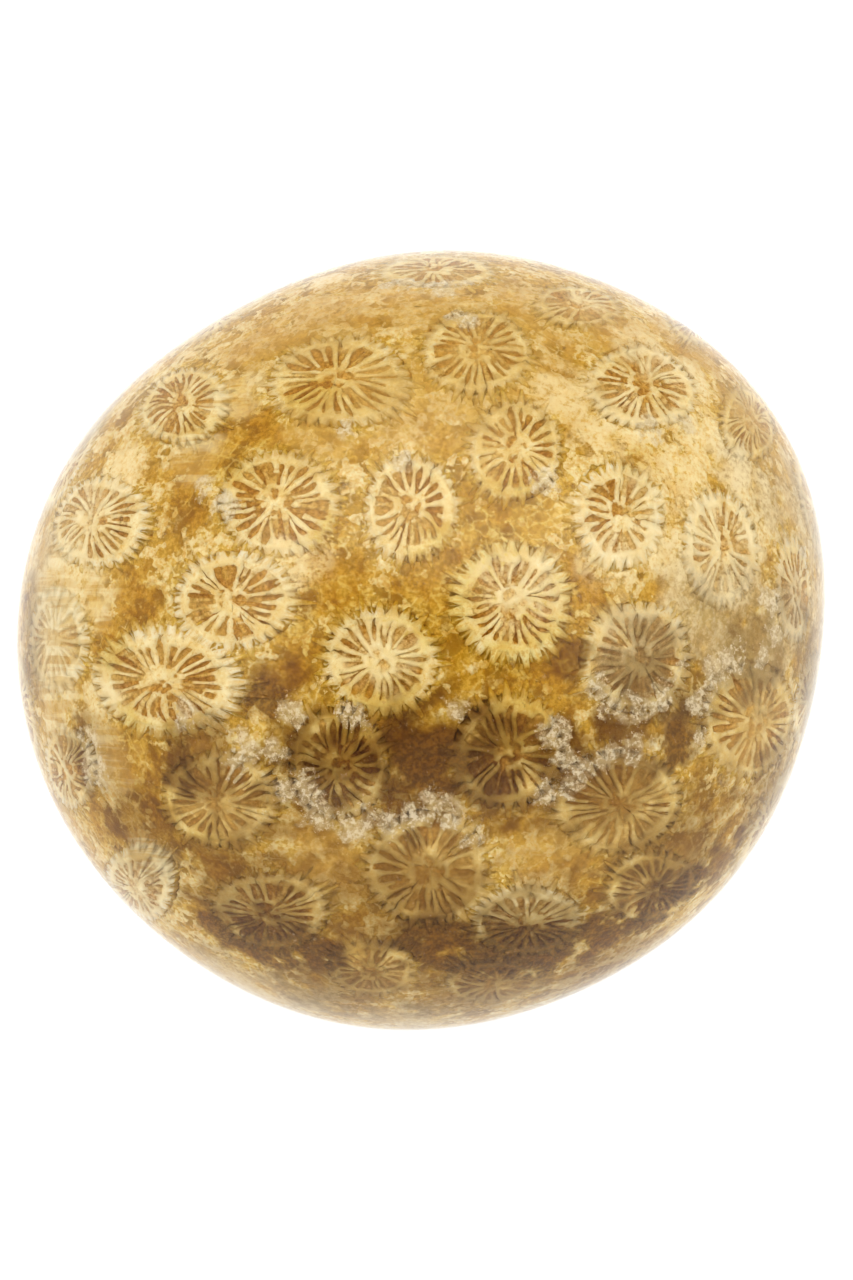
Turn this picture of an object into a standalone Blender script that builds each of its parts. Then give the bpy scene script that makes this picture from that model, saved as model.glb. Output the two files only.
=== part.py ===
"""A fossil coral head: a hand-sized stone of agatised coral, tumbled and polished all over.

The stone is one solid. Its growth face leans back towards +Z and looks towards -Y, and the side
that grew on rock is cut off flat, so the stone rests on that cut with the origin under its middle.
"""

import math

import bmesh
import bpy
from mathutils import Vector

MM = 0.001

# The growth face: seen square on, its outline is a circle with a few slow swellings.
OUTLINE_RADIUS = 32.4 * MM
FACE_LEAN = math.radians(50)  # from the ground up to the direction that the growth face looks in
# Each swelling: how many times it goes round the outline, its height over the radius, and the
# direction of its first crest, counter-clockwise from +X.
SWELLINGS = (
    (1, 0.0096, math.radians(33)),
    (2, 0.0311, math.radians(24)),
    (3, 0.0128, math.radians(44)),
    (5, 0.0044, math.radians(29)),
    (6, 0.0037, math.radians(27)),
)

# How the stone bulges in front of that outline and behind it.
FRONT_BULGE = 30.0 * MM
BACK_BULGE = 28.5 * MM
FULLNESS = 2.06  # 2 is an ellipsoid, and more is squarer
HUMPS = 0.9 * MM  # the unevenness that tumbling leaves on the face and the back
HUMP_LENGTH = 34.0 * MM
HUMP_SHIFT = Vector((1.3, 0.4, 2.1))  # where the humps lie, as angles along X, Y and Z

# The cut.
CUT_DEPTH = 23.2 * MM  # below the middle of the stone
EDGE_WEAR = 3.6 * MM  # how far the cut's worn edge reaches

# The mesh.
RINGS = 64
SEGMENTS = 64
SETTLING_STEPS = 40  # each step brings a point at least half of the way nearer to the cut


def outline_radius(turn, edge):
    """The outline's reach in a direction across the growth face.

    The swellings are at their full height where edge is 1, at the outline, and none where it is 0.
    """
    swell = sum(height * math.cos(count * (turn - crest)) for count, height, crest in SWELLINGS)
    return OUTLINE_RADIUS * (1 + swell * edge**2)


def face_axes():
    """Unit vectors across the growth face, up it and out of it."""
    out = Vector((0, -math.cos(FACE_LEAN), math.sin(FACE_LEAN)))
    up = Vector((0, math.sin(FACE_LEAN), math.cos(FACE_LEAN)))
    return Vector((1, 0, 0)), up, out


def pebble_reach(direction):
    """How far the uncut pebble reaches from its middle in a direction."""
    across, up, out = (direction.dot(axis) for axis in face_axes())
    edge = math.hypot(across, up)
    side = edge / outline_radius(math.atan2(up, across), edge)
    bulge = abs(out) / (FRONT_BULGE if out > 0 else BACK_BULGE)
    reach = (side**FULLNESS + bulge**FULLNESS) ** (-1 / FULLNESS)
    spot = direction * (reach * 2 * math.pi / HUMP_LENGTH) + HUMP_SHIFT
    humps = math.sin(spot.x) * math.sin(spot.y) * math.sin(spot.z)
    return reach + HUMPS * humps * out**2


def stone_reach(direction):
    """How far the stone reaches in a direction, with the cut below and its edge worn round.

    The surface is where the larger of two heights is 0: the height outside the pebble, and the
    height below the cut. Where the two are near each other they are blended, which rounds the edge.
    """
    pebble = pebble_reach(direction)
    reach = pebble
    for _ in range(SETTLING_STEPS):
        outside = reach - pebble
        below = -direction.z * reach - CUT_DEPTH
        nearness = max(1 - abs(outside - below) / EDGE_WEAR, 0)
        reach -= max(outside, below) + nearness**2 * EDGE_WEAR / 4
    return reach


def chalcedony():
    """Honey-coloured chalcedony with a waxy polish."""
    material = bpy.data.materials.new("polished_chalcedony")
    material.use_nodes = True
    surface = material.node_tree.nodes["Principled BSDF"]
    surface.inputs["Base Color"].default_value = (0.50, 0.27, 0.07, 1)
    surface.inputs["Roughness"].default_value = 0.12
    surface.inputs["Metallic"].default_value = 0
    return material


def coral_head():
    """The stone: a sphere whose points are moved out along their own directions to its surface."""
    mesh = bpy.data.meshes.new("coral_head")
    stone = bmesh.new()
    bmesh.ops.create_uvsphere(stone, u_segments=SEGMENTS, v_segments=RINGS, radius=1)
    for point in stone.verts:
        direction = point.co.normalized()
        point.co = direction * stone_reach(direction)
    across = [point.co.x for point in stone.verts]
    deep = [point.co.y for point in stone.verts]
    middle = Vector(((min(across) + max(across)) / 2, (min(deep) + max(deep)) / 2, -CUT_DEPTH))
    bmesh.ops.translate(stone, verts=stone.verts, vec=-middle)
    stone.to_mesh(mesh)
    stone.free()
    mesh.shade_smooth()
    mesh.materials.append(chalcedony())
    return bpy.data.objects.new("coral_head", mesh)


for leftover in list(bpy.data.objects):
    bpy.data.objects.remove(leftover)

fossil = bpy.data.collections.new("fossil_coral_head")
bpy.context.scene.collection.children.link(fossil)
fossil.objects.link(coral_head())
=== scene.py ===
import math

import bmesh
import bpy
import numpy as np
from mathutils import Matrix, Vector, noise


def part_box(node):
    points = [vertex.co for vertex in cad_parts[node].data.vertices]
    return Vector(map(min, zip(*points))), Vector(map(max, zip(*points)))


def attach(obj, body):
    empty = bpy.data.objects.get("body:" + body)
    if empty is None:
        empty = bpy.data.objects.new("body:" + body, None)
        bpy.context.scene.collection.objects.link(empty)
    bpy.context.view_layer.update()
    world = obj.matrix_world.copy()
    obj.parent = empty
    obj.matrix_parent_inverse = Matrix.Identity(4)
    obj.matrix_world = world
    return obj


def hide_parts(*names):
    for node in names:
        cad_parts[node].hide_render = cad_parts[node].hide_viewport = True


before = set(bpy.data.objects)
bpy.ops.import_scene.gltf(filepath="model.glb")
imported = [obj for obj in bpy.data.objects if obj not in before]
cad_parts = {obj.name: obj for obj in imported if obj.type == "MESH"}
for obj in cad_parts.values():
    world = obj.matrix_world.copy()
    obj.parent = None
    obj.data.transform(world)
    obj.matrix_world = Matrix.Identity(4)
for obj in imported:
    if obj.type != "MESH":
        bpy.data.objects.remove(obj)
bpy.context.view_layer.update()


# The polished skin. The whole coral is soaked in honey-coloured chalcedony, and tumbling has worn
# it to a smooth pebble with a waxy shine, cut flat below where the colony grew on rock. The skin is
# that smooth outside, and everything under it is seen through the stone.
MM = 0.001
FACE_LEAN = math.radians(50)
# The growth face's own axes: across it, up it, and straight out of it. Lengths are in mm.
FACE = np.array(
    ((1, 0, 0), (0, math.sin(FACE_LEAN), math.cos(FACE_LEAN)), (0, -math.cos(FACE_LEAN), math.sin(FACE_LEAN)))
)
OUTLINE_RADIUS = 32.4
# Swellings of the outline: how many go round it, how high they are, and where one crests in degrees.
SWELLINGS = ((1, 0.0096, 33), (2, 0.0311, 24), (3, 0.0128, 44), (5, 0.0044, 29), (6, 0.0037, 27))
FRONT_BULGE, BACK_BULGE, FULLNESS = 30.0, 28.5, 2.06
HUMPS, HUMP_LENGTH, HUMP_SHIFT = 0.9, 34.0, (1.3, 0.4, 2.1)
CUT_DEPTH, EDGE_WEAR, SETTLING_STEPS = 23.2, 3.6, 40
SKIN_FINENESS = 7
SKIN_TINT = (1.0, 0.98, 0.93, 1)
SKIN_ROUGHNESS = 0.06
CHALCEDONY_IOR = 1.38
STONE_TINT, STONE_DEPTH = (0.86, 0.64, 0.08, 1), 320.0


def stone_reach(direction):
    """How far the stone's surface is from its middle, in mm, along each row of directions."""
    across, up, out = (direction @ axis for axis in FACE)
    edge, turn = np.hypot(across, up), np.arctan2(up, across)
    swell = sum(height * np.cos(count * (turn - math.radians(crest))) for count, height, crest in SWELLINGS)
    side = edge / (OUTLINE_RADIUS * (1 + swell * edge**2))
    bulge = np.abs(out) / np.where(out > 0, FRONT_BULGE, BACK_BULGE)
    pebble = (side**FULLNESS + bulge**FULLNESS) ** (-1 / FULLNESS)
    spot = direction * (pebble * 2 * math.pi / HUMP_LENGTH)[:, None] + HUMP_SHIFT
    pebble += HUMPS * np.sin(spot).prod(axis=1) * out**2
    reach = pebble.copy()
    for _ in range(SETTLING_STEPS):
        outside, below = reach - pebble, -direction[:, 2] * reach - CUT_DEPTH
        nearness = np.maximum(1 - np.abs(outside - below) / EDGE_WEAR, 0)
        reach -= np.maximum(outside, below) + nearness**2 * EDGE_WEAR / 4
    return reach


def unit(rows):
    """The rows at a length of 1."""
    return rows / np.linalg.norm(rows, axis=-1, keepdims=True)


def ball(fineness):
    """Directions to the points of an even ball of triangles, and its faces."""
    built = bmesh.new()
    bmesh.ops.create_icosphere(built, subdivisions=fineness, radius=1)
    directions = np.array([point.co for point in built.verts])
    faces = np.array([[point.index for point in face.verts] for face in built.faces])
    built.free()
    return unit(directions), faces


skin_directions, skin_faces = ball(SKIN_FINENESS)
skin_points = skin_directions * stone_reach(skin_directions)[:, None]
low, high = (np.array(corner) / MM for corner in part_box("coral_head"))
MIDDLE = (low + high) / 2 - (skin_points.min(axis=0) + skin_points.max(axis=0)) / 2


def piece_of(name, points, faces, material, attributes=()):
    """A smooth mesh object from points in mm round the stone's middle, riding with the stone."""
    mesh = bpy.data.meshes.new(name)
    mesh.from_pydata(((points + MIDDLE) * MM).tolist(), [], faces)
    for label, values in dict(attributes).items():
        held = mesh.attributes.new(label, "FLOAT", "POINT")
        held.data.foreach_set("value", np.asarray(values, np.float32))
    mesh.shade_smooth()
    mesh.materials.append(material)
    piece = bpy.data.objects.new(name, mesh)
    bpy.context.scene.collection.objects.link(piece)
    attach(piece, "root")
    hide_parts("coral_head")
    return piece


class Wire:
    """An output socket of a material's nodes. Arithmetic on it adds Math nodes."""

    def __init__(self, tree, socket=None):
        self.tree, self.socket = tree, socket

    def node(self, kind, settings=(), sockets=(), output=0):
        """Adds a node, with its settings set first, then the values or links of its sockets."""
        made = self.tree.nodes.new("ShaderNode" + kind)
        for name, value in dict(settings).items():
            setattr(made, name, value)
        for name, value in dict(sockets).items():
            if isinstance(value, Wire):
                self.tree.links.new(value.socket, made.inputs[name])
            else:
                made.inputs[name].default_value = value
        return Wire(self.tree, made.outputs[output])

    def maths(self, operation, *values):
        return self.node("Math", {"operation": operation}, dict(enumerate(values)))

    def __add__(self, other):
        return self.maths("ADD", self, other)

    def __sub__(self, other):
        return self.maths("SUBTRACT", self, other)

    def __rsub__(self, other):
        return self.maths("SUBTRACT", other, self)

    def __mul__(self, other):
        return self.maths("MULTIPLY", self, other)

    __radd__, __rmul__ = __add__, __mul__

    def mix(self, factor, first, second, blend="MIX"):
        """The first colour turning to the second as the factor rises."""
        settings = {"data_type": "RGBA", "blend_type": blend}
        return self.node("Mix", settings, {0: factor, 6: first, 7: second}, output=2)

    def rise(self, start, end):
        """0 up to start, 1 from end on, and a smooth rise between them."""
        sockets = {"Value": self, "From Min": start, "From Max": end}
        return self.node("MapRange", {"interpolation_type": "SMOOTHSTEP"}, sockets)

    def feeds(self, node, name):
        self.tree.links.new(self.socket, node.inputs[name])


def material_of(name):
    """A new material, its Principled BSDF, and a Wire to build its nodes from."""
    material = bpy.data.materials.new(name)
    material.use_nodes = True
    return material, material.node_tree.nodes["Principled BSDF"], Wire(material.node_tree)


skin_material, surface, wires = material_of("polished_chalcedony")
surface.inputs["Base Color"].default_value = SKIN_TINT
surface.inputs["Roughness"].default_value = SKIN_ROUGHNESS
surface.inputs["IOR"].default_value = CHALCEDONY_IOR
surface.inputs["Transmission Weight"].default_value = 1.0
tint = wires.node("VolumeAbsorption", {}, {"Color": STONE_TINT, "Density": STONE_DEPTH})
tint.feeds(skin_material.node_tree.nodes["Material Output"], "Volume")
piece_of("polished_chalcedony", skin_points, skin_faces.tolist(), skin_material)


# The corallites: the cups that the polyps lived in, with blades (septa) running in to a spongy
# middle, a thick cream wall, and a frill of ribs (costae) outside it. They are coral limestone
# turned to cream chalcedony, and the hollows between the blades are filled with brown chalcedony.
PIXELS_PER_MM = 12.2
FACE_MIDDLE_PX = (421.5, 639.5)
CAMERA_DISTANCE = 420.0
AIMING_STEPS, LEAST_OUT = 30, 0.5
PROBE, ANY_WAY = 0.01, (0.3, 0.2, 0.9)
# The least that a cup faces out of the growth face, and the most that it's drawn out sideways.
LEAST_FACING, MOST_STRETCH = 0.25, 1.9
SMALLEST_CUP, LARGEST_CUP = 3.0, 4.4
POLISH_COVER = 0.05
# Each corallite of the growth face: where it lies and its half width and half height there, in
# pixels of an 853 x 1280 frame, then how wide its wall is in mm, and how pale its skeleton is.
CUPS = (
    (437, 268, 50, 16, 0.5, 0.45), (580, 303, 38, 18, 0.45, 0.4), (478, 347, 48, 37, 0.4, 0.35),
    (337, 377, 60, 39, 0.6, 0.4), (645, 384, 48, 38, 0.5, 0.7), (180, 402, 38, 34, 0.65, 0.55),
    (517, 448, 40, 43, 0.35, 0.45), (752, 420, 26, 34, 0.4, 0.2), (276, 501, 51, 44, 0.5, 0.5),
    (411, 507, 39, 44, 0.45, 0.55), (92, 520, 44, 38, 0.7, 0.8), (622, 514, 36, 42, 0.75, 0.85),
    (724, 547, 32, 49, 0.65, 0.8), (231, 600, 51, 39, 0.6, 0.75), (381, 661, 47, 44, 0.5, 0.7),
    (513, 602, 47, 47, 0.8, 0.95), (797, 590, 16, 44, 0.6, 0.8), (162, 682, 62, 43, 0.8, 0.8),
    (640, 658, 46, 46, 0.6, 0.7), (52, 640, 26, 42, 0.8, 0.8), (338, 765, 42, 47, 0.4, 0.3),
    (510, 753, 47, 48, 0.4, 0.25), (757, 722, 44, 50, 0.5, 0.3), (216, 802, 50, 40, 0.5, 0.3),
    (623, 806, 56, 44, 0.5, 0.25), (428, 872, 52, 50, 0.5, 0.3), (66, 770, 24, 34, 0.6, 0.7),
    (135, 888, 32, 30, 0.8, 0.9), (268, 914, 52, 34, 0.4, 0.3), (530, 925, 46, 30, 0.6, 1.0),
    (655, 890, 42, 32, 0.4, 0.25), (372, 972, 38, 24, 0.4, 0.2), (495, 985, 42, 20, 0.4, 0.3),
    (704, 312, 26, 24, 0.45, 0.5),
)
rng = np.random.default_rng(7)


def seen_at(x, y):
    """The direction to the point of the growth face at a place in the frame."""
    across, up = (x - FACE_MIDDLE_PX[0]) / PIXELS_PER_MM, (FACE_MIDDLE_PX[1] - y) / PIXELS_PER_MM
    out = 0.0
    for _ in range(AIMING_STEPS):
        near = 1 - out / CAMERA_DISTANCE
        flat = np.array((across * near, up * near))
        direction = unit(np.array((*flat, max(out, LEAST_OUT))) @ FACE)
        reach = stone_reach(direction[None])[0]
        out = (out + math.sqrt(max(reach**2 - flat @ flat, LEAST_OUT**2))) / 2
    return direction


def outward(direction):
    """The surface's outward normal where a direction meets it."""
    along = unit(np.cross(direction, ANY_WAY))
    beside = np.cross(direction, along)
    around = unit(np.array((direction, direction + PROBE * along, direction + PROBE * beside)))
    points = around * stone_reach(around)[:, None]
    normal = unit(np.cross(points[1] - points[0], points[2] - points[0]))
    return normal * np.sign(normal @ direction)


corallites = []
for x, y, half_width, half_height, wall, pale in CUPS:
    direction = seen_at(x, y)
    normal = FACE @ outward(direction)
    axes = []
    for along, half in (((1, 0), half_width), ((0, 1), half_height)):
        lean = -(normal[:2] @ along) / max(normal[2], LEAST_FACING)
        axes.append(np.array((*along, lean)) @ FACE * half / PIXELS_PER_MM)
    lengths = np.linalg.norm(axes, axis=1)
    cup = np.clip(lengths.mean(), SMALLEST_CUP, LARGEST_CUP)
    axes = [axis * min(1, MOST_STRETCH * cup / length) / cup for axis, length in zip(axes, lengths)]
    corallites.append((direction, cup, axes, wall, pale))

# The other corallites fill the rest of the stone, wherever there is room.
TRIES, FACE_EDGE, SPACING = 9000, 0.22, 9.6
OVALS, OTHER_CUPS, OTHER_WALLS, OTHER_PALES = (0.94, 1.12), (3.1, 4.2), (0.35, 0.8), (0.2, 0.95)
spots = [direction * stone_reach(direction[None])[0] for direction, *_ in corallites]
tried = unit(rng.normal(size=(TRIES, 3)))
for direction, reach in zip(tried, stone_reach(tried)):
    spot = direction * reach
    if direction @ FACE[2] > FACE_EDGE or min(np.linalg.norm(spot - other) for other in spots) < SPACING:
        continue
    spots.append(spot)
    normal = outward(direction)
    along = unit(np.cross(normal, rng.normal(size=3)))
    oval = rng.uniform(*OVALS)
    axes = [along * oval, np.cross(normal, along) / oval]
    cup, wall, pale = (rng.uniform(*limits) for limits in (OTHER_CUPS, OTHER_WALLS, OTHER_PALES))
    corallites.append((direction, cup, axes, wall, pale))


def noise_at(points, size, octaves, shift=0.0):
    """Smooth noise, mostly between -1 and 1, at points in mm, with lumps of a size in mm."""
    return np.array([noise.fractal(Vector(row), 1.0, 2.0, octaves) for row in points / size + shift])


# Patches of colour, most of them cloudy stone: where each lies in the frame, and its radius in mm.
PATCHES = {
    "amber": (
        (225, 448, 3.4), (508, 520, 4.2), (440, 600, 4.4), (330, 590, 3.0), (385, 720, 4.4), (535, 670, 4.6),
        (585, 590, 2.8), (300, 650, 2.4), (180, 745, 2.6), (560, 640, 3.0), (250, 430, 2.6), (480, 560, 2.6),
        (540, 620, 2.0), (440, 545, 2.0), (320, 545, 2.4), (600, 880, 2.6), (310, 400, 2.4), (640, 460, 2.0),
        (135, 595, 2.4), (110, 650, 2.0), (130, 745, 3.0), (150, 800, 3.4), (105, 830, 2.6), (185, 500, 2.4),
        (210, 850, 3.0), (350, 955, 2.4), (660, 860, 2.6),
    ),
    "dark": (
        (425, 768, 3.2), (272, 695, 2.5), (680, 738, 2.8), (490, 948, 3.6), (430, 945, 3.2), (600, 932, 2.6),
        (265, 940, 3.6), (725, 860, 2.8), (310, 950, 2.8), (575, 655, 1.8), (340, 770, 3.8), (510, 740, 2.4),
        (655, 905, 2.8), (690, 882, 2.2), (410, 745, 2.2), (178, 772, 1.8), (545, 950, 3.4), (225, 930, 2.8),
        (470, 755, 3.6), (300, 745, 3.0), (560, 760, 3.0), (620, 725, 2.6), (400, 800, 3.0), (510, 800, 3.0),
    ),
    # Darkened patches, most of them over the lower part of the growth face, which they make darker towards
    # the bottom.
    "smoke": (
        (140, 830, 5.0), (250, 890, 6.5), (400, 900, 7.0), (545, 928, 6.0), (680, 850, 6.5), (330, 985, 6.0),
        (480, 990, 6.5), (600, 970, 6.0), (430, 770, 6.0), (600, 780, 5.0), (770, 790, 5.0), (300, 790, 4.5),
        (200, 760, 4.0), (810, 660, 3.5), (90, 760, 3.6), (755, 660, 4.0), (690, 700, 3.4), (26, 610, 3.0),
        (30, 670, 3.0), (650, 675, 3.6),
    ),
    "fibres": (
        (50, 580, 2.8), (60, 620, 3.2), (60, 665, 3.2), (50, 710, 2.8), (95, 600, 2.2), (110, 760, 2.6),
        (235, 395, 2.6), (195, 455, 2.4), (150, 860, 2.4),
    ),
    "brown": (
        (425, 768, 2.8), (268, 700, 1.5), (548, 955, 3.4), (495, 955, 3.2), (437, 948, 2.8), (652, 914, 2.6),
        (690, 886, 1.9), (262, 950, 2.8), (600, 940, 2.6), (312, 952, 2.2), (222, 932, 2.2), (680, 742, 1.8),
    ),
    "haze": (
        (428, 872, 5.0), (623, 806, 5.0), (757, 722, 4.4), (216, 802, 4.2), (655, 880, 4.4),
        (372, 972, 4.4), (495, 985, 4.0), (478, 345, 3.6), (752, 420, 3.6), (570, 850, 4.4), (330, 860, 4.0),
        (330, 320, 5.0), (430, 300, 5.0), (540, 310, 5.0), (400, 400, 4.6), (560, 390, 4.0), (620, 330, 4.4),
        (320, 430, 3.2), (480, 400, 4.0), (690, 345, 3.6), (260, 340, 3.6),
    ),
    # Milky chalcedony. The patches along the rim are partly a painted reflection of the bright surroundings
    # at grazing angles.
    "milk": (
        (710, 610, 4.2), (760, 650, 4.2), (40, 615, 3.4), (640, 960, 4.6),
        (800, 500, 4.0), (300, 1000, 4.6), (790, 620, 4.0), (640, 655, 4.0), (745, 590, 3.0), (730, 640, 3.6),
        (795, 450, 3.6), (818, 540, 4.0), (820, 620, 4.0), (812, 700, 3.6), (690, 590, 3.0), (680, 740, 2.4),
        (750, 370, 3.4), (90, 430, 3.4), (40, 560, 2.8), (560, 1000, 4.0), (835, 590, 3.6), (830, 650, 3.6),
        (770, 500, 3.4), (740, 470, 2.6), (800, 400, 3.0),
        (836, 520, 3.6), (824, 460, 3.6),
        (220, 970, 4.0), (400, 1020, 4.4), (700, 930, 3.6),
    ),
    "pale": (
        (330, 278, 1.6), (590, 300, 1.6), (60, 600, 4.0), (50, 660, 4.0), (120, 470, 2.6), (520, 590, 3.4),
        (140, 885, 3.0), (300, 560, 2.4), (705, 540, 2.8), (380, 655, 3.0), (530, 896, 2.0), (500, 908, 1.6),
        (560, 903, 1.6), (665, 480, 3.2), (700, 505, 2.6), (662, 540, 3.0), (745, 475, 3.0), (640, 425, 2.8),
        (700, 430, 3.0), (605, 430, 2.6), (758, 530, 2.6), (570, 395, 2.8), (645, 350, 2.6), (690, 375, 2.6),
        (612, 560, 2.4), (730, 580, 2.4), (90, 510, 2.8), (70, 550, 2.6), (100, 700, 2.4),
    ),
    "frost": (
        (300, 790, 1.9), (320, 815, 1.6), (348, 828, 1.7), (372, 808, 1.3), (290, 712, 1.4), (275, 752, 1.2),
        (395, 830, 1.3), (425, 810, 1.7), (452, 816, 1.5), (475, 838, 1.2), (455, 712, 1.2),
        (556, 735, 1.4), (566, 762, 1.3), (545, 792, 1.3), (574, 785, 1.4), (584, 766, 1.4), (606, 755, 1.4),
        (634, 750, 1.3), (657, 748, 1.1), (598, 688, 1.2), (615, 705, 1.4), (642, 708, 1.4), (665, 694, 1.3),
        (680, 672, 1.1), (703, 738, 1.2), (702, 705, 1.3), (712, 676, 1.5), (735, 659, 1.7), (764, 655, 1.3),
        (222, 505, 1.4), (205, 488, 1.3), (345, 425, 1.2), (648, 428, 1.6), (690, 425, 1.3), (405, 462, 1.2),
        (548, 482, 1.4), (350, 714, 1.2), (185, 715, 1.4), (245, 745, 1.6), (235, 770, 1.2), (465, 318, 1.3),
        (440, 286, 1.7), (410, 284, 1.2), (392, 283, 1.0), (470, 284, 1.2), (95, 775, 1.8), (88, 745, 1.4),
        (770, 600, 1.3), (776, 630, 1.4), (805, 560, 1.2),
    ),
}
OTHER_PATCHES = {
    "amber": 26, "dark": 16, "smoke": 14, "fibres": 12, "brown": 16, "haze": 14, "milk": 14, "pale": 20,
    "frost": 44,
}
PATCH_EDGE, OTHER_SIZES = -0.05, (0.8, 1.3)
PATCH_LEVEL, PATCH_STEEPNESS, PATCH_FADE = 0.45, 1.3, 1.5
PATCH_WANDER, WANDER_SIZE = 0.9, 1.5
FAR_OUTSIDE = -9.0
patches = {}
for kind, places in PATCHES.items():
    middles = [seen_at(x, y) for x, y, _ in places]
    sizes = [size for *_, size in places]
    while len(middles) < len(places) + OTHER_PATCHES[kind]:
        direction = unit(rng.normal(size=3))
        if direction @ FACE[2] < PATCH_EDGE:
            middles.append(direction)
            sizes.append(rng.choice(sizes[:len(places)]) * rng.uniform(*OTHER_SIZES))
    middles = np.array(middles)
    patches[kind] = (middles * stone_reach(middles)[:, None], np.array(sizes))


def patch_masks(points):
    """For each kind of patch, how far each point is inside one: 0 outside to 1 well inside."""
    wander = PATCH_LEVEL + PATCH_WANDER * noise_at(points, WANDER_SIZE, 4)
    masks = {}
    for kind, (middles, sizes) in patches.items():
        inside = np.full(len(points), FAR_OUTSIDE)
        for middle, size in zip(middles, sizes):
            inside = np.maximum(inside, 1 - np.linalg.norm(points - middle, axis=1) / size)
        ragged = np.clip(wander + PATCH_STEEPNESS * inside, 0, 1)
        masks[kind] = ragged * np.clip(1 + PATCH_FADE * inside, 0, 1)
    return masks


# One corallite. Its rings lie at shares of the cup's radius, of the wall and of the frill's length.
CUP_RINGS = np.array(
    (0.05, 0.11, 0.17, 0.23, 0.29, 0.35, 0.42, 0.50, 0.58, 0.66, 0.74, 0.81, 0.87, 0.92, 0.96)
)
WALL_RINGS = np.array((0.0, 0.25, 0.6, 1.0))
COSTA_RINGS = np.array((0.25, 0.5, 0.8, 1.1, 1.5))
COSTA_LENGTHS, COSTA_REACHES, VALLEY_REACHES = (0.75, 1.05), (0.2, 1.9), (0.2, 1.4)
MAJORS_PER_MM, MAJORS_VARY = 2.95, (-0.6, 0.6)
FIRST_SEED = 1000
# Where the septa stand and start. Angles are shares of the space between two septa.
MAJORS_WANDER, MINORS_WANDER = (-0.34, 0.34), (-0.16, 0.16)
LEANING, LEAN_LENGTH, LEAN_CURVE, LEAN_OUTSIDE = (0, 0, 1), 0.5, 1.3, 0.3
SWAY, SWAY_TURNS = 0.28, 5
ANY_TURN, ANY_SPIN = (0, 6), (0, 7)
MAJOR_STARTS, MINOR_STARTS, START_LENGTH = (0, 0.1, 0.2, 0.35), (0.28, 0.58), 0.09
# How wide they stand, in mm, and the most that they may take of the space.
MAJOR_HALVES, MINOR_HALVES, THINNEST = (0.14, 0.21), (0.11, 0.18), 0.1
HALF_LEAST, HALF_JITTER = 0.7, 0.6
BEADS, BEAD_TURNS = 0.28, 9
FLARE, FLARE_START, FLARE_CURVE = 0.36, 0.74, 1.5
MOST_WIDE, MOST_WIDE_MINOR = ((0.1, 0.5, 0.7), (0.9, 0.75, 0.43)), 0.43
RIB_WIDTHS, RIB_LEAST, RIB_JITTER = ((0, 0.25, 1), (0.42, 0.33, 0.21)), 0.8, 0.4
TAPER_START, TAPER_LEAST = 1.15, 0.1
SLOPE, SLOPE_IN_CUP, SLOPE_OUTSIDE = 0.07, 0.05, 0.08
LEAST_TURN = 1e-4
# How deep the pits, the grooves and the frill lie under the polish, in mm.
PIT_DEPTHS = (0.3, 0.6, 0.84, 0.93, 1.0), (0.3, 0.45, 0.45, 0.3, 0)
FRILL_DEPTHS = (0, 0.7, 1, 1.4), (0, 0.12, 0.45, 1.1)
HOLLOWS, HOLLOW_EDGE, PIT_ENDS, PIT_SCALES = (0.18, 0.40), 0.14, (0.80, 1.06), (0.6, 1.2)
PLATE_CHANCE, PLATES = 0.12, (0.3, 0.8)
GROOVE_INSIDE, GROOVE_OUTSIDE, GROOVE_LEAST, GROOVE_FRILL = 0.04, 0.44, 0.5, (1.3, 0.7)
LOWEST_TOP, ROUGHNESS_INSIDE, ROUGHNESS_OUTSIDE = 0.11, 0.05, 0.04
NOTCHES, NOTCH_LENGTH = (0.78, 0.98), 0.07
FADE_IN_CUP, FADE_IN_WALL, FADE_OUTSIDE, EDGE_FADE = 4.5, 3.0, 2.4, 0.25
FILLS, SIDE_FILL = (-0.7, 0.7), 0.4
# The outline's waves round a turn, and the spongy heart's size, its three lobes and its pits.
WAVES, WAVE_HEIGHT, MOST_SWELL = (2, 3, 4, 5, 7), 0.05, 1.4
HEART, HEART_LOBES, HEART_EDGE = 0.30, 0.05, 0.07
HEART_PITS, PIT_SIZE, HEART_DEPTH, HEART_DARKNESS = (0.45, 2.2), 0.8, 0.4, 0.9
AT_CENTRE = 0.1


def ring_faces(rings, columns):
    """Quads between the rings, and triangles from the first ring to the centre."""
    k, j = np.meshgrid(np.arange(rings - 1), np.arange(columns), indexing="ij")
    a, b = k * columns + j, k * columns + (j + 1) % columns
    quads = np.stack((a, a + columns, b + columns, b), axis=-1).reshape(-1, 4)
    turn = np.arange(columns)
    hub = np.stack((np.full(columns, rings * columns), turn, (turn + 1) % columns), axis=1)
    return quads, hub


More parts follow.
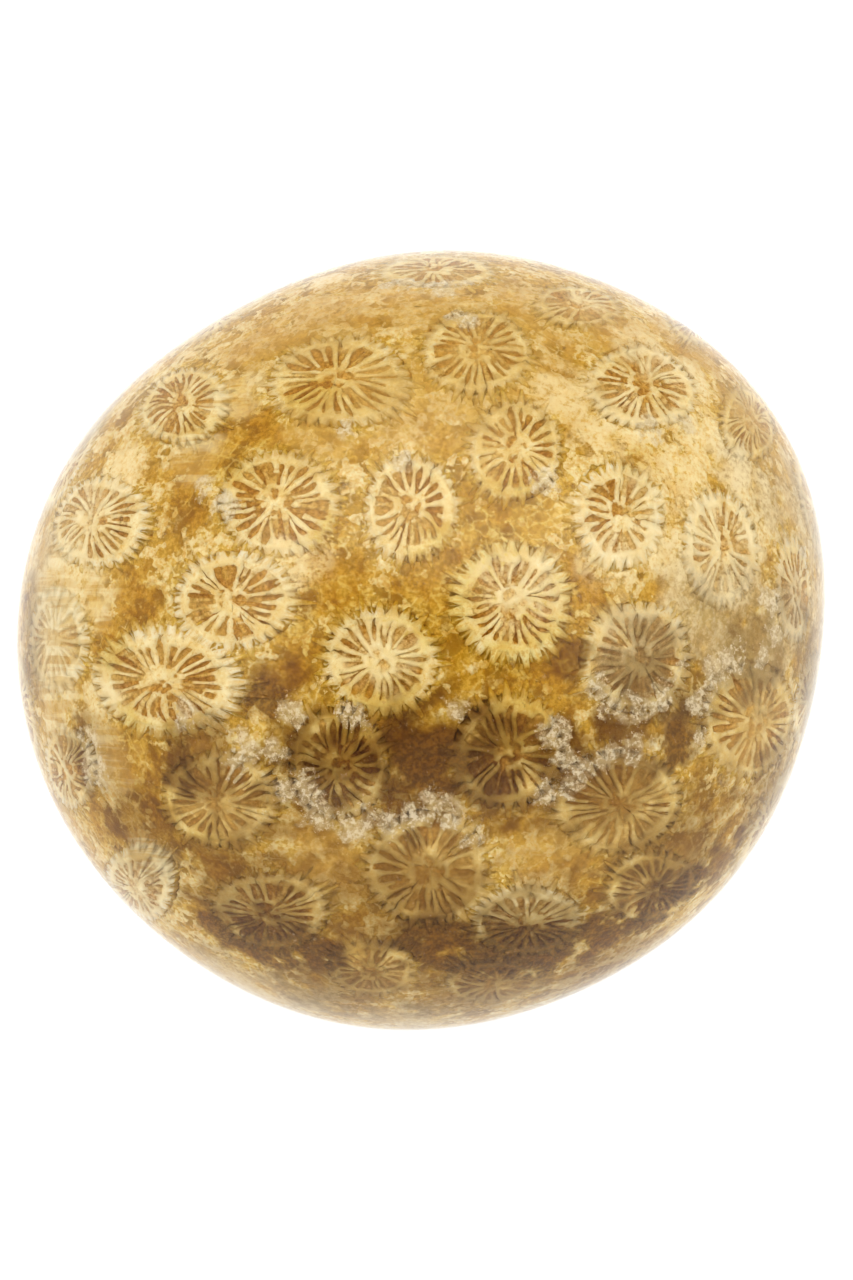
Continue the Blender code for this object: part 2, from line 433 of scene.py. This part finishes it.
class Corallite:
    """A cup with its septa, wall and costae, as rings of points round a centre. On each ring a septum
    has five points: a foot, the two sides of its top, the other foot, and the middle of the next pit."""

    def __init__(self, direction, cup, axes, wall, pale, seed):
        self.direction, self.cup, self.axes, self.wall, self.pale = direction, cup, axes, wall, pale
        self.own = np.random.default_rng(seed)
        self.costa = self.own.uniform(*COSTA_LENGTHS)
        self.majors = int(round(cup * MAJORS_PER_MM + self.own.uniform(*MAJORS_VARY)))
        self.count = 2 * self.majors
        self.spacing = 2 * math.pi / self.count
        costa_rings = cup + wall + self.costa * COSTA_RINGS
        self.radii = np.concatenate((cup * CUP_RINGS, cup + wall * WALL_RINGS, costa_rings))
        # Each ring's radius, as it is and as a share of the cup's, and how far it is through the wall.
        self.r = self.radii[:, None, None]
        self.s = self.r / cup
        self.in_cup, self.across = self.s < 1, np.clip((self.r - cup) / wall, 0, 1)
        self.major = np.arange(self.count)[None, :, None] % 2 == 0
        self.jitter = self.every(0, 1)

    def each(self, low, high):
        """A random number for each septum."""
        return self.own.uniform(low, high, (1, self.count, 1))

    def every(self, low, high):
        """A random number for each septum at each ring."""
        return self.own.uniform(low, high, (len(self.radii), self.count, 1))

    def frill(self, reaches):
        """How deep the frill lies at each ring, where its ribs reach so far beyond the wall."""
        return np.interp((self.r - self.cup - self.wall) / reaches, *FRILL_DEPTHS)

    def places(self):
        """Where the septa stand: the majors wander and lean on a neighbour, the minors stay between."""
        own, majors, spacing, share = self.own, self.majors, self.spacing, self.s[:, :, 0]
        turn = np.arange(majors) * 2 * spacing + own.uniform(*MAJORS_WANDER, majors) * spacing
        inward = np.clip(1 - share, 0, 1)
        leaning = np.repeat(own.choice(LEANING, (majors + 1) // 2), 2)[:majors]
        lean = leaning * np.tile((1, -1), majors)[:majors]
        sway = own.normal(0, SWAY, majors) * np.sin(share * SWAY_TURNS + own.uniform(*ANY_TURN, majors))
        sway = sway * self.in_cup[:, :, 0]
        lean = lean * LEAN_LENGTH * inward**LEAN_CURVE * (LEAN_OUTSIDE + inward)
        turn = turn + (lean + sway) * spacing
        after = np.concatenate((turn[:, 1:], turn[:, :1] + 2 * math.pi), axis=1)
        between = (turn + after) / 2 + own.uniform(*MINORS_WANDER, majors) * spacing
        return np.stack((turn, between), axis=2).reshape(len(self.radii), self.count, 1)

    def widths(self):
        """How present each septum is, half its width in the cup in mm, and the most it may take up."""
        major, s = self.major, self.s
        start = np.where(major, self.own.choice(MAJOR_STARTS, (1, self.count, 1)), self.each(*MINOR_STARTS))
        present = np.where(s > 1, 1, np.clip((s - start) / START_LENGTH, 0, 1))
        half = np.where(major, self.each(*MAJOR_HALVES), self.each(*MINOR_HALVES))
        half = half * (HALF_LEAST + HALF_JITTER * self.jitter)
        flare = FLARE * np.clip((s - FLARE_START) / (1 - FLARE_START), 0, 1) ** FLARE_CURVE
        half = half * (1 + BEADS * np.sin(s * BEAD_TURNS + self.each(*ANY_TURN))) + flare
        half = half * (THINNEST + (1 - THINNEST) * present)
        return present, half, np.where(major, np.interp(s, *MOST_WIDE), MOST_WIDE_MINOR)

    def turns(self, places, half, most, reaches):
        """The turn of each point: first for septa in the cup, then for ribs of the wall and the frill."""
        taper = np.clip(TAPER_START - (self.r - self.cup - self.wall) / reaches, TAPER_LEAST, 1)
        rib = np.interp(self.across, *RIB_WIDTHS) * (RIB_LEAST + RIB_JITTER * self.jitter) * taper
        top = np.minimum(half / self.r, most * self.spacing)
        top = np.where(self.in_cup, top, rib * self.spacing)
        foot = np.minimum((half + SLOPE) / self.r, (most + SLOPE_IN_CUP) * self.spacing)
        foot = np.where(self.in_cup, foot, (rib + SLOPE_OUTSIDE) * self.spacing)
        before = places - foot
        following = np.concatenate((before[:, 1:], before[:, :1] + 2 * math.pi), axis=1)
        turns = (before, places - top, places + top, places + foot, (places + foot + following) / 2)
        turns = np.concatenate(turns, axis=2).reshape(len(self.radii), -1)
        return np.maximum.accumulate(turns, axis=1) + np.arange(turns.shape[1]) * LEAST_TURN

    def depths(self, present, reaches):
        """How deep each point lies below the polish, in the pits, on the septa and in the grooves."""
        s, across, in_cup, jitter = self.s, self.across, self.in_cup, self.jitter
        hollow = self.each(*HOLLOWS)
        ends = s / self.each(*PIT_ENDS)
        floor = np.clip((s - hollow) / HOLLOW_EDGE, 0, 1) * np.interp(ends, *PIT_DEPTHS)
        plates = (self.every(0, 1) < PLATE_CHANCE) * self.every(*PLATES)
        floor = floor * self.each(*PIT_SCALES) * (1 - plates)
        valley = (GROOVE_INSIDE + GROOVE_OUTSIDE * across) * (GROOVE_LEAST + jitter)
        frilled = valley + GROOVE_FRILL[0] * self.frill(GROOVE_FRILL[1] * self.costa)
        valley = np.where(across < 1, valley, frilled)
        right = np.where(in_cup, floor, np.maximum(valley, floor))
        left = np.roll(right, 1, axis=1)
        top = self.each(0, 1) ** 3 * LOWEST_TOP + ROUGHNESS_INSIDE * jitter
        top = np.minimum(top, np.minimum(left, right)) * present + right * (1 - present)
        top = np.where(in_cup, top, ROUGHNESS_OUTSIDE * jitter + self.frill(reaches))
        notch = np.clip((s - self.each(*NOTCHES)) / NOTCH_LENGTH, 0, 1)
        middle = ROUGHNESS_OUTSIDE * jitter + self.frill(self.costa * self.each(*VALLEY_REACHES))
        middle = np.where(in_cup, floor * (1 - notch), middle)
        return np.concatenate((left, top, top, right, middle), axis=2)

    def flesh(self, depths):
        """How much of what shows at each point is coral flesh: less of it with depth."""
        outside = np.interp(self.across, (0, 1), (FADE_IN_WALL, FADE_OUTSIDE))
        fade = np.where(self.in_cup, FADE_IN_CUP, outside)
        return np.clip(1 - depths * fade - EDGE_FADE * (self.across == 1), 0, 1)

    def fills(self, places):
        """How pale the stone in each pit is: paler towards one side of the cup."""
        fill, side = self.each(*FILLS), self.own.uniform(0, SIDE_FILL)
        fill = fill + side * (1 + np.cos(places[:1] - self.own.uniform(*ANY_TURN)))
        fill = np.broadcast_to(np.clip(fill, 0, 1), places.shape)
        return np.concatenate((np.roll(fill, 1, axis=1), fill, fill, fill, fill), axis=2)

    def bent(self, turns):
        """Each point's distance from the centre. The wall isn't round: it swells a little with the turn."""
        swell = sum(
            self.own.normal(0, WAVE_HEIGHT / order) * np.cos(order * turns + self.own.uniform(*ANY_TURN))
            for order in WAVES
        )
        return self.radii[:, None] * (1 + swell * np.clip(self.radii[:, None] / self.cup, 0, MOST_SWELL))

    def heart(self, x, y, spoke, surface):
        """How far each point is in the spongy middle, and how far in a pit between its bright knobs."""
        heart = np.clip((HEART + HEART_LOBES * np.cos(3 * np.arctan2(y, x)) - spoke) / HEART_EDGE, 0, 1)
        inside = np.nonzero(heart)[0]
        pits = np.zeros(len(x))
        pitted = noise_at(surface[inside], PIT_SIZE, 2)
        pits[inside] = np.clip(HEART_PITS[0] + HEART_PITS[1] * pitted, 0, 1)
        return heart, pits

    def build(self):
        """Its points, its faces and the attributes of its points. The last point is the centre."""
        places = self.places()
        present, half, most = self.widths()
        reaches = self.costa * self.each(*COSTA_REACHES)
        turns = self.turns(places, half, most, reaches)
        depths = self.depths(present, reaches)
        rows = depths, self.flesh(depths), self.fills(places)
        depth, flesh, fill = (np.append(row.ravel(), AT_CENTRE) for row in rows)
        bent = np.append(self.bent(turns).ravel(), 0)
        turns = turns + self.own.uniform(*ANY_SPIN)
        ray_x, ray_y = np.append(np.cos(turns).ravel(), 0), np.append(np.sin(turns).ravel(), 0)
        x, y = bent * ray_x, bent * ray_y
        spoke = np.append(np.repeat(self.radii / self.cup, turns.shape[1]), 0)
        middle = self.direction * stone_reach(self.direction[None])[0]
        directions = unit(middle + x[:, None] * self.axes[0] + y[:, None] * self.axes[1])
        reach = stone_reach(directions)
        heart, pits = self.heart(x, y, spoke, directions * reach[:, None])
        depth = depth * (1 - heart) + HEART_DEPTH * pits * heart
        flesh = flesh * (1 - heart) + (1 - HEART_DARKNESS * pits) * heart
        points = directions * (reach - POLISH_COVER - depth)[:, None]
        values = {"flesh": flesh, "fill": fill, "spoke": spoke, "ray_x": ray_x, "ray_y": ray_y}
        return points, ring_faces(*turns.shape), {**values, "pale_cup": np.full(len(x), self.pale)}


# Colours of the patches. A pair runs from the darker grains to the lighter ones.
# The darkened tint makes the growth face darker towards the bottom.
AMBER_TINT, DARK_TINT, DARKENED_TINT = (0.86, 0.76, 0.32, 1), (0.55, 0.44, 0.18, 1), (0.66, 0.58, 0.40, 1)
HAZE = (0.68, 0.47, 0.15, 1), (0.84, 0.64, 0.26, 1)
# The milky pair is partly a painted reflection along the rim.
MILK_AND_RIM_REFLECTION = (0.56, 0.44, 0.25, 1), (0.80, 0.67, 0.44, 1)
PALE = (0.98, 0.87, 0.60, 1)
BROWN, BROWN_TINTS = (0.39, 0.235, 0.06, 1), ((0.60, 0.51, 0.17, 1), (0.99, 0.86, 0.31, 1))
FIBRES = (1.0, 0.92, 0.68, 1), (0.76, 0.56, 0.22, 1)
FIBRE_SCALES = (110.0, 1100.0, 110.0)
CHALK, FLAKE = ((0.64, 0.52, 0.33, 1), (0.82, 0.72, 0.53, 1)), (0.93, 0.85, 0.69, 1)


def attribute(wires, name):
    """An attribute of the mesh's points."""
    return wires.node("Attribute", {"attribute_name": name}, output="Fac")


def noisy(wires, place, scale, detail, roughness=0.5, output=0):
    """Noise round 0.5, with a scale in lumps to the metre."""
    sockets = {"Vector": place, "Scale": scale, "Detail": detail, "Roughness": roughness}
    return wires.node("TexNoise", {}, sockets, output=output)


def clouded(wires, place, colour, fine):
    """A colour as it shows through the patches of amber, darkened, hazy, milky, pale and frosted stone, the
    milky ones along the rim partly a painted reflection.
    """
    masks = {kind: attribute(wires, kind) for kind in PATCHES}
    broad = noisy(wires, place, 220.0, 4.0)
    lumps = noisy(wires, place, 420.0, 4.0, 0.6)
    rough = noisy(wires, place, 800.0, 5.0, 0.65)
    flakes = noisy(wires, place, 2600.0, 5.0, 0.75)
    colour = wires.mix(masks["amber"] * 0.75, colour, AMBER_TINT, "MULTIPLY")
    colour = wires.mix(masks["haze"] * 0.62, colour, wires.mix(rough.rise(0.35, 0.65), *HAZE))
    # Milky stone, and along the rim a painted reflection of the bright surroundings.
    colour = wires.mix(masks["milk"] * 0.7, colour, wires.mix((broad + fine).rise(0.8, 1.2), *MILK_AND_RIM_REFLECTION))
    colour = wires.mix(masks["pale"] * (rough + fine).rise(0.75, 1.1) * 0.68, colour, PALE)
    colour = wires.mix(masks["dark"] * 0.95, colour, DARK_TINT, "MULTIPLY")
    # Darkened patches: the growth face gets darker towards the bottom.
    colour = wires.mix(masks["smoke"], colour, DARKENED_TINT, "MULTIPLY")
    browning = masks["brown"] + ((lumps - 0.5) * 1.6 + (rough - 0.5) * 1.8)
    browning = browning.rise(0.25, 0.65)
    colour = wires.mix(browning * 0.5, colour, BROWN)
    browned = wires.mix(fine.rise(0.42, 0.60), *BROWN_TINTS)
    colour = wires.mix(browning * 0.85, colour, browned, "MULTIPLY")
    along = [
        wires.node("VectorMath", {"operation": "DOT_PRODUCT"}, {0: place, 1: tuple(axis)}, output="Value")
        for axis in FACE
    ]
    drawn = wires.node("CombineXYZ", {}, {i: along[i] * scale for i, scale in enumerate(FIBRE_SCALES)})
    fibre = noisy(wires, drawn, 1.0, 3.0, 0.6)
    colour = wires.mix(masks["fibres"] * 0.6, colour, wires.mix(fibre.rise(0.42, 0.58), *FIBRES))
    frosted = masks["frost"] + (lumps - 0.5) * 1.8 + (rough - 0.5) * 2.4
    chalk = wires.mix(fine.rise(0.40, 0.60), *CHALK)
    colour = wires.mix(frosted.rise(0.55, 0.95) * 0.55, colour, chalk)
    flaked = (flakes - 0.5) * 3.6 + frosted * 0.5
    strength = masks["frost"].rise(0.05, 0.4) * 0.5 + 0.2
    return wires.mix(flaked.rise(0.52, 0.72) * strength, colour, FLAKE)


# Colours of the skeleton, the stone between its blades, and the amber in its wall.
GOLDEN = (0.83, 0.62, 0.20, 1), (0.95, 0.80, 0.41, 1)
WHITE = (1.0, 0.90, 0.64, 1), (1.0, 0.98, 0.88, 1)
GRIT, GLINT, WALL_SHADE = (0.78, 0.53, 0.14, 1), (1.0, 0.97, 0.80, 1), (0.72, 0.51, 0.17, 1)
BETWEEN_RIBS = (0.70, 0.47, 0.12, 1), (0.90, 0.70, 0.30, 1)
DEEP_STONE = (0.48, 0.25, 0.015, 1), (0.76, 0.50, 0.11, 1)
FILLED_STONE = (0.64, 0.44, 0.12, 1), (0.86, 0.66, 0.26, 1)
WALL_AMBER = (0.64, 0.41, 0.03, 1), (0.86, 0.65, 0.15, 1)
STREAKS_ROUND, STREAKS_OUT, STREAKS_APART = 15.0, 2.4, 60.0
CORAL_ROUGHNESS = 0.6
skeleton, surface, wires = material_of("coral_skeleton")
place = wires.node("TexCoord", output="Object")
flesh, fill, spoke, ray_x, ray_y, pale_cup = (
    attribute(wires, name) for name in ("flesh", "fill", "spoke", "ray_x", "ray_y", "pale_cup")
)
grain = noisy(wires, place, 2600.0, 5.0, 0.7)
coarse = noisy(wires, place, 700.0, 4.0, 0.6)
apart = spoke * STREAKS_OUT + pale_cup * STREAKS_APART
round_cup = wires.node("CombineXYZ", {}, {0: ray_x * STREAKS_ROUND, 1: ray_y * STREAKS_ROUND, 2: apart})
streaks = noisy(wires, round_cup, 1.0, 3.0, 0.6)
in_wall = spoke.rise(0.92, 1.12)
golden = wires.mix(coarse.rise(0.35, 0.65), *GOLDEN)
white = wires.mix(coarse.rise(0.3, 0.7), *WHITE)
cream = wires.mix(pale_cup * (in_wall * 0.6 + 0.4), golden, white)
cream = wires.mix(grain.rise(0.50, 0.68) * 0.75, cream, GRIT)
cream = wires.mix(in_wall * streaks.rise(0.44, 0.60) * 0.8, cream, wires.mix(pale_cup, *BETWEEN_RIBS))
cream = wires.mix(in_wall * (1 - pale_cup) * 0.35, cream, WALL_SHADE)
cream = wires.mix((1 - grain.rise(0.32, 0.44)) * 0.5, cream, GLINT)
grained = grain.rise(0.36, 0.64)
brown = wires.mix(fill, wires.mix(grained, *DEEP_STONE), wires.mix(grained, *FILLED_STONE))
brown = wires.mix(in_wall, brown, wires.mix(grained, *WALL_AMBER))
show = flesh + (grain - 0.5) * 0.7 + in_wall * (streaks - 0.5) * 1.1
colour = wires.mix(show.rise(0.42, 0.78), brown, cream)
clouded(wires, place, colour, grain).feeds(surface, "Base Color")
surface.inputs["Roughness"].default_value = CORAL_ROUGHNESS

# Each piece holds the part of the stone nearest to one of these directions.
SIDES = {
    "front": FACE[2], "back": -FACE[2], "left": -FACE[0], "right": FACE[0], "top": FACE[1],
    "bottom": -FACE[1],
}
side_axes = np.array(list(SIDES.values()))
MAP_UP, MAP_MARGIN, MAP_LIMIT = (0.1, 0.3, 0.9), 0.01, -0.9


def add_map(piece, directions, axis):
    """A UV map for bakes: the piece's directions laid out flat round its side's axis, at true areas."""
    across = unit(np.cross(axis, MAP_UP))
    up = np.cross(axis, across)
    spread = np.sqrt(2 / (1 + np.clip(directions @ axis, MAP_LIMIT, 1)))[:, None]
    flat = spread * np.stack((directions @ across, directions @ up), axis=1)
    low, high = flat.min(axis=0), flat.max(axis=0)
    flat = MAP_MARGIN + (1 - 2 * MAP_MARGIN) * (flat - low) / (high - low)
    loops = np.empty(len(piece.data.loops), np.int32)
    piece.data.loops.foreach_get("vertex_index", loops)
    piece.data.uv_layers.new(name="OFBake").uv.foreach_set("vector", flat[loops].astype(np.float32).ravel())


nearest_side = np.argmax(np.array([direction for direction, *_ in corallites]) @ side_axes.T, axis=1)
for side, (name, axis) in enumerate(SIDES.items()):
    points, faces, values, start = [], [], [], 0
    for i in np.nonzero(nearest_side == side)[0]:
        one, (quads, hub), given = Corallite(*corallites[i], FIRST_SEED + i).build()
        faces += (quads + start).tolist() + (hub + start).tolist()
        points.append(one)
        values.append(given)
        start += len(one)
    points = np.concatenate(points)
    attributes = {key: np.concatenate([given[key] for given in values]) for key in values[0]}
    attributes.update(patch_masks(points))
    piece = piece_of(f"corallites_{name}", points, faces, skeleton, attributes)
    add_map(piece, unit(points), axis)


# The coral's flesh between the corallites (the coenosteum): thin films and bubbles of skeleton,
# turned to cream and amber chalcedony. It lies deeper where the stone is clear amber.
# Lengths are in mm. The matrix runs a little under each wall, where it dips out of sight.
MATRIX_FINENESS = 8
FAR, UNDER_WALL, WALL_REACH = 9.0, 0.3, 11
LOBE_SIZE, LUMP_SIZE, LUMP_SHIFT = 1.9, 0.7, 5.0
FLESH_LEVEL, FLESH_LOBES, FLESH_LUMPS, WALL_RIM = 0.42, 0.6, 0.6, (0.1, 0.9)
FLESH_IN_PATCHES = {"amber": -0.35, "dark": -0.2, "pale": 0.4, "frost": 0.12}
FILM_DEPTH, POOL_DEPTH, POOL_LUMPS, LOBE_DEPTH = 0.10, 0.55, 0.3, 0.1
SHALLOW_AT_WALL, SHALLOW_LENGTH, SHALLOWEST = 0.75, 1.1, 0.05
SHALLOW_IN_FROST, SHALLOW_IN_MILK_AND_RIM_REFLECTION, DEPTH_LIMITS = 0.7, 0.4, (0.04, 1.2)
DIP_DEPTH, DIP_SLOPE = 0.5, 6
matrix_directions, matrix_faces = ball(MATRIX_FINENESS)
matrix_surface = matrix_directions * stone_reach(matrix_directions)[:, None]
outside = np.full(len(matrix_surface), FAR)
for (_, cup, axes, wall, _), middle in zip(corallites, spots):
    close = np.nonzero(np.linalg.norm(matrix_surface - middle, axis=1) < WALL_REACH)[0]
    x, y = np.linalg.lstsq(np.array(axes).T, (matrix_surface[close] - middle).T, rcond=None)[0]
    outside[close] = np.minimum(outside[close], np.hypot(x, y) - cup - wall)
matrix_faces = matrix_faces[(outside[matrix_faces] > -UNDER_WALL).any(axis=1)]
used, matrix_faces = np.unique(matrix_faces, return_inverse=True)
matrix_faces = matrix_faces.reshape(-1, 3)
directions, surface_points, outside = matrix_directions[used], matrix_surface[used], outside[used]
masks = patch_masks(surface_points)
lobes = noise_at(surface_points, LOBE_SIZE, 4)
lumps = noise_at(surface_points, LUMP_SIZE, 3, LUMP_SHIFT)
flesh = FLESH_LEVEL + FLESH_LOBES * lobes + FLESH_LUMPS * lumps - WALL_RIM[0] * np.exp(-outside / WALL_RIM[1])
flesh = np.clip(flesh + sum(share * masks[kind] for kind, share in FLESH_IN_PATCHES.items()), 0, 1)
flesh = flesh**2 * (3 - 2 * flesh)
depth = FILM_DEPTH + (POOL_DEPTH + POOL_LUMPS * lumps) * (1 - flesh) + LOBE_DEPTH * np.abs(lobes)
near_wall = np.exp(-np.clip(outside, 0, FAR) / SHALLOW_LENGTH)
depth = depth * (1 - SHALLOW_AT_WALL * near_wall) + SHALLOWEST
depth = depth * (1 - SHALLOW_IN_FROST * masks["frost"]) * (1 - SHALLOW_IN_MILK_AND_RIM_REFLECTION * masks["milk"])
depth = np.clip(depth, *DEPTH_LIMITS)
dipped = np.maximum(depth, DIP_DEPTH + DIP_SLOPE * np.clip(-outside, 0, UNDER_WALL))
depth = np.where(outside < 0, dipped, depth)
matrix_points = surface_points - directions * (POLISH_COVER + depth)[:, None]

# Colours of the amber pools and of the coral films round them.
DARK_AMBER = (0.58, 0.36, 0.02, 1), (0.80, 0.58, 0.12, 1)
LIGHT_AMBER = (0.72, 0.52, 0.10, 1), (0.92, 0.75, 0.29, 1)
STAIN, DOTS = (0.42, 0.25, 0.01, 1), (0.98, 0.88, 0.55, 1)
CREAM, CREAM_SHADE = ((0.84, 0.63, 0.23, 1), (1.0, 0.92, 0.64, 1)), (0.74, 0.50, 0.13, 1)
FILM = (1.0, 0.93, 0.64, 1)
DOT_SCALE, CELL_SCALE, WARP = 950.0, 820.0, 0.0011
coenosteum, surface, wires = material_of("coenosteum")
place = wires.node("TexCoord", output="Object")
flesh_here = attribute(wires, "flesh")
fine = noisy(wires, place, 2400.0, 5.0, 0.7)
rough = noisy(wires, place, 950.0, 4.0, 0.6)
big = noisy(wires, place, 330.0, 5.0, 0.6)
dots = wires.node("TexVoronoi", {}, {"Vector": place, "Scale": DOT_SCALE, "Randomness": 1.0})
warp = {0: noisy(wires, place, 700.0, 2.0, output=1), 1: (WARP, WARP, WARP), 2: place}
warped = wires.node("VectorMath", {"operation": "MULTIPLY_ADD"}, warp)
cells = {"Vector": warped, "Scale": CELL_SCALE, "Randomness": 1.0}
net = 1 - wires.node("TexVoronoi", {"feature": "DISTANCE_TO_EDGE"}, cells).rise(0.02, 0.11)
stain = noisy(wires, place, 520.0, 5.0, 0.6)
grained = fine.rise(0.38, 0.62)
amber = wires.mix(big.rise(0.44, 0.60), wires.mix(grained, *DARK_AMBER), wires.mix(grained, *LIGHT_AMBER))
amber = wires.mix(stain.rise(0.48, 0.62) * 0.75, amber, STAIN)
amber = wires.mix((1 - dots.rise(0.08, 0.17)) * rough.rise(0.4, 0.6) * 0.8, amber, DOTS)
cream = wires.mix(rough.rise(0.50, 0.66) * 0.5, wires.mix(grained, *CREAM), CREAM_SHADE)
body = flesh_here + (rough - 0.5) * 1.1 + (fine - 0.5) * 0.5
colour = wires.mix(body.rise(0.40, 0.66), amber, cream)
film = 1 - wires.maths("ABSOLUTE", body - 0.5).rise(0.0, 0.06)
film = wires.maths("MAXIMUM", film, net * big.rise(0.44, 0.56) * 0.8)
colour = wires.mix(film * fine.rise(0.34, 0.54) * 0.75, colour, FILM)
clouded(wires, place, colour, fine).feeds(surface, "Base Color")
surface.inputs["Roughness"].default_value = CORAL_ROUGHNESS

nearest_side = np.argmax(directions[matrix_faces].mean(axis=1) @ side_axes.T, axis=1)
for side, (name, axis) in enumerate(SIDES.items()):
    here, faces = np.unique(matrix_faces[nearest_side == side], return_inverse=True)
    values = {"flesh": flesh[here], **{kind: mask[here] for kind, mask in masks.items()}}
    faces = faces.reshape(-1, 3).tolist()
    piece = piece_of(f"coenosteum_{name}", matrix_points[here], faces, coenosteum, values)
    add_map(piece, directions[here], axis)


# The stage: a plain white floor under a soft studio dome. It is bright above and over the camera, and darker
# behind, low in front and round the opening that the camera looks through.
FLOOR_SIZE, FLOOR_GREY, FLOOR_ROUGHNESS, FLOOR_GLOW = 8.0, 0.3, 0.9, 0.62
# The dome's glow, the key light over the camera added to it, and how much each part takes away.
DOME_GLOW, KEY_GLOW, OPENING_SHADE, FRONT_SHADE, BEHIND_SHADE = 1.06, 1.7, 0.85, 0.8, 0.45
UP, HORIZON = (0, 0, 1), (0.12, 0.30)
# Which way each part of the dome lies from the stone, and how closely a ray has to lie to that.
OPENING, OPENING_EDGE = (0.0, -0.64, 0.77), (0.84, 0.98)
FRONT, FRONT_EDGE = (0.0, -0.92, 0.38), (0.50, 0.95)
BEHIND, BEHIND_EDGE = (0.0, 0.87, 0.50), (0.20, 0.90)
KEY, KEY_EDGE = (0.0, -0.50, 0.87), (0.50, 0.92)
FRAME_WIDTH_PX, FRAME_HEIGHT_PX = 853, 1280
SENSOR_WIDTH = 36.0
bpy.ops.mesh.primitive_plane_add(size=FLOOR_SIZE)
floor = bpy.context.object
floor.name = "floor"
material, surface, wires = material_of("floor")
surface.inputs["Base Color"].default_value = (FLOOR_GREY, FLOOR_GREY, FLOOR_GREY, 1)
surface.inputs["Roughness"].default_value = FLOOR_ROUGHNESS
surface.inputs["Specular IOR Level"].default_value = 0
surface.inputs["Emission Color"].default_value = (1, 1, 1, 1)
surface.inputs["Emission Strength"].default_value = FLOOR_GLOW
floor.data.materials.append(material)

world = bpy.data.worlds.new("studio")
bpy.context.scene.world = world
world.use_nodes = True
wires = Wire(world.node_tree)
toward = wires.node("TexCoord", output="Generated")


def facing(axis):
    """How closely a direction of the dome lies to an axis: -1 to 1."""
    sockets = {0: toward, 1: tuple(Vector(axis).normalized())}
    return wires.node("VectorMath", {"operation": "DOT_PRODUCT"}, sockets, output="Value")


opening = facing(OPENING).rise(*OPENING_EDGE)
front = facing(FRONT).rise(*FRONT_EDGE) * facing(UP).rise(*HORIZON)
behind = facing(BEHIND).rise(*BEHIND_EDGE) * facing(UP).rise(*HORIZON)
key = facing(KEY).rise(*KEY_EDGE)
glow = (DOME_GLOW + key * KEY_GLOW) * (1 - opening * OPENING_SHADE)
glow = glow * (1 - front * FRONT_SHADE) * (1 - behind * BEHIND_SHADE)
glow.feeds(world.node_tree.nodes["Background"], "Strength")
world.node_tree.nodes["Background"].inputs["Color"].default_value = (1, 1, 1, 1)

camera = bpy.data.cameras.new("camera")
camera.sensor_width = SENSOR_WIDTH
camera.lens = SENSOR_WIDTH * CAMERA_DISTANCE / (FRAME_HEIGHT_PX / PIXELS_PER_MM)
holder = bpy.data.objects.new("camera", camera)
across, up, out = (Vector(axis) for axis in FACE)
target = Vector(MIDDLE) + across * ((FRAME_WIDTH_PX / 2 - FACE_MIDDLE_PX[0]) / PIXELS_PER_MM)
target = target + up * ((FACE_MIDDLE_PX[1] - FRAME_HEIGHT_PX / 2) / PIXELS_PER_MM)
holder.location = (target + out * CAMERA_DISTANCE) * MM
holder.rotation_euler = out.to_track_quat("Z", "Y").to_euler()
bpy.context.scene.collection.objects.link(holder)
bpy.context.scene.camera = holder
bpy.context.scene.view_settings.view_transform = "Standard"
bpy.context.scene.view_settings.look = "High Contrast"
